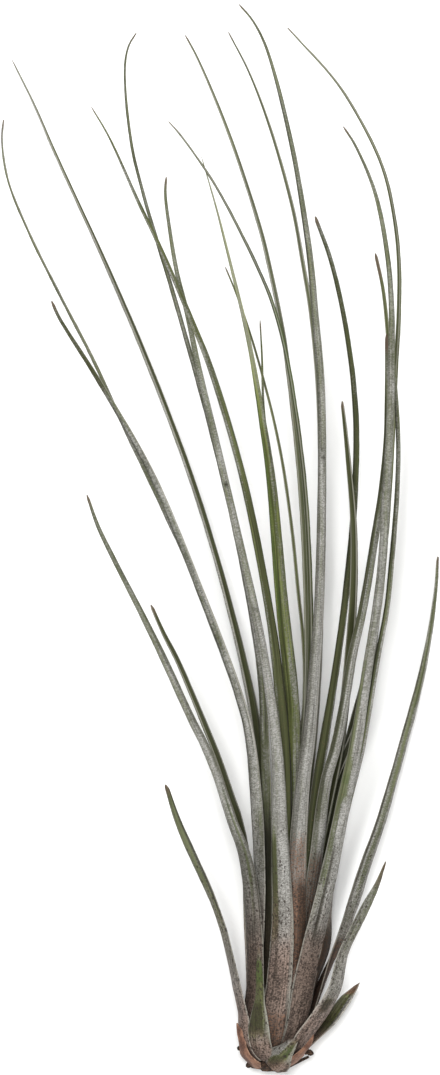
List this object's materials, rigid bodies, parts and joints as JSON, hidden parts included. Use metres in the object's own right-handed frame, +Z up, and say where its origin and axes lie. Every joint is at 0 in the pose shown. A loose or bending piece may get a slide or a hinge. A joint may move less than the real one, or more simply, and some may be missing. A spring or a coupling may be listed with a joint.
{
  "type": "air plant",
  "caption": "Rootless rush-leaved air plant lying on its side: long channelled silver-green leaves in a loose tuft from a small brown sheathed base.",
  "frame": {"origin": "on the surface the plant lies on, at the small flat spot under its base", "axes": "+Y along the plant from its base to its leaf tips, +Z up from the surface, +X to the right when seen from above with the tips up"},
  "size_m": [0.1309, 0.3198, 0.0686],
  "materials": {
    "silver_leaf": "matt living leaf, green under a felt of fine silver scales",
    "olive_leaf": "matt living leaf, olive with thin silver scales",
    "dark_leaf": "satin living leaf, dark green channel side outwards",
    "yellow_leaf": "satin living leaf, yellow green",
    "dry_scale": "dry papery brown old sheath",
    "stem": "rough dark brown stem with dead root stubs"
  },
  "bodies": {
    "root": {"stem": "stem", "dry_scale_left": "dry_scale", "dry_scale_right": "dry_scale", "front_scale": "olive_leaf", "leaf_01": "silver_leaf", "leaf_02": "dark_leaf", "leaf_03": "olive_leaf", "leaf_04": "olive_leaf", "leaf_05": "silver_leaf", "leaf_06": "silver_leaf", "leaf_07": "dark_leaf", "leaf_08": "silver_leaf", "leaf_09": "yellow_leaf", "leaf_10": "olive_leaf", "leaf_11": "olive_leaf", "leaf_12": "silver_leaf", "leaf_13": "silver_leaf", "leaf_14": "olive_leaf", "leaf_15": "silver_leaf", "leaf_16": "olive_leaf", "leaf_17": "silver_leaf", "leaf_18": "silver_leaf", "leaf_19": "dark_leaf", "leaf_20": "dark_leaf", "leaf_21": "silver_leaf", "leaf_22": "silver_leaf", "leaf_23": "olive_leaf", "leaf_24": "silver_leaf", "leaf_25": "silver_leaf", "leaf_26": "dark_leaf", "leaf_27": "olive_leaf"}
  },
  "joints": []
}
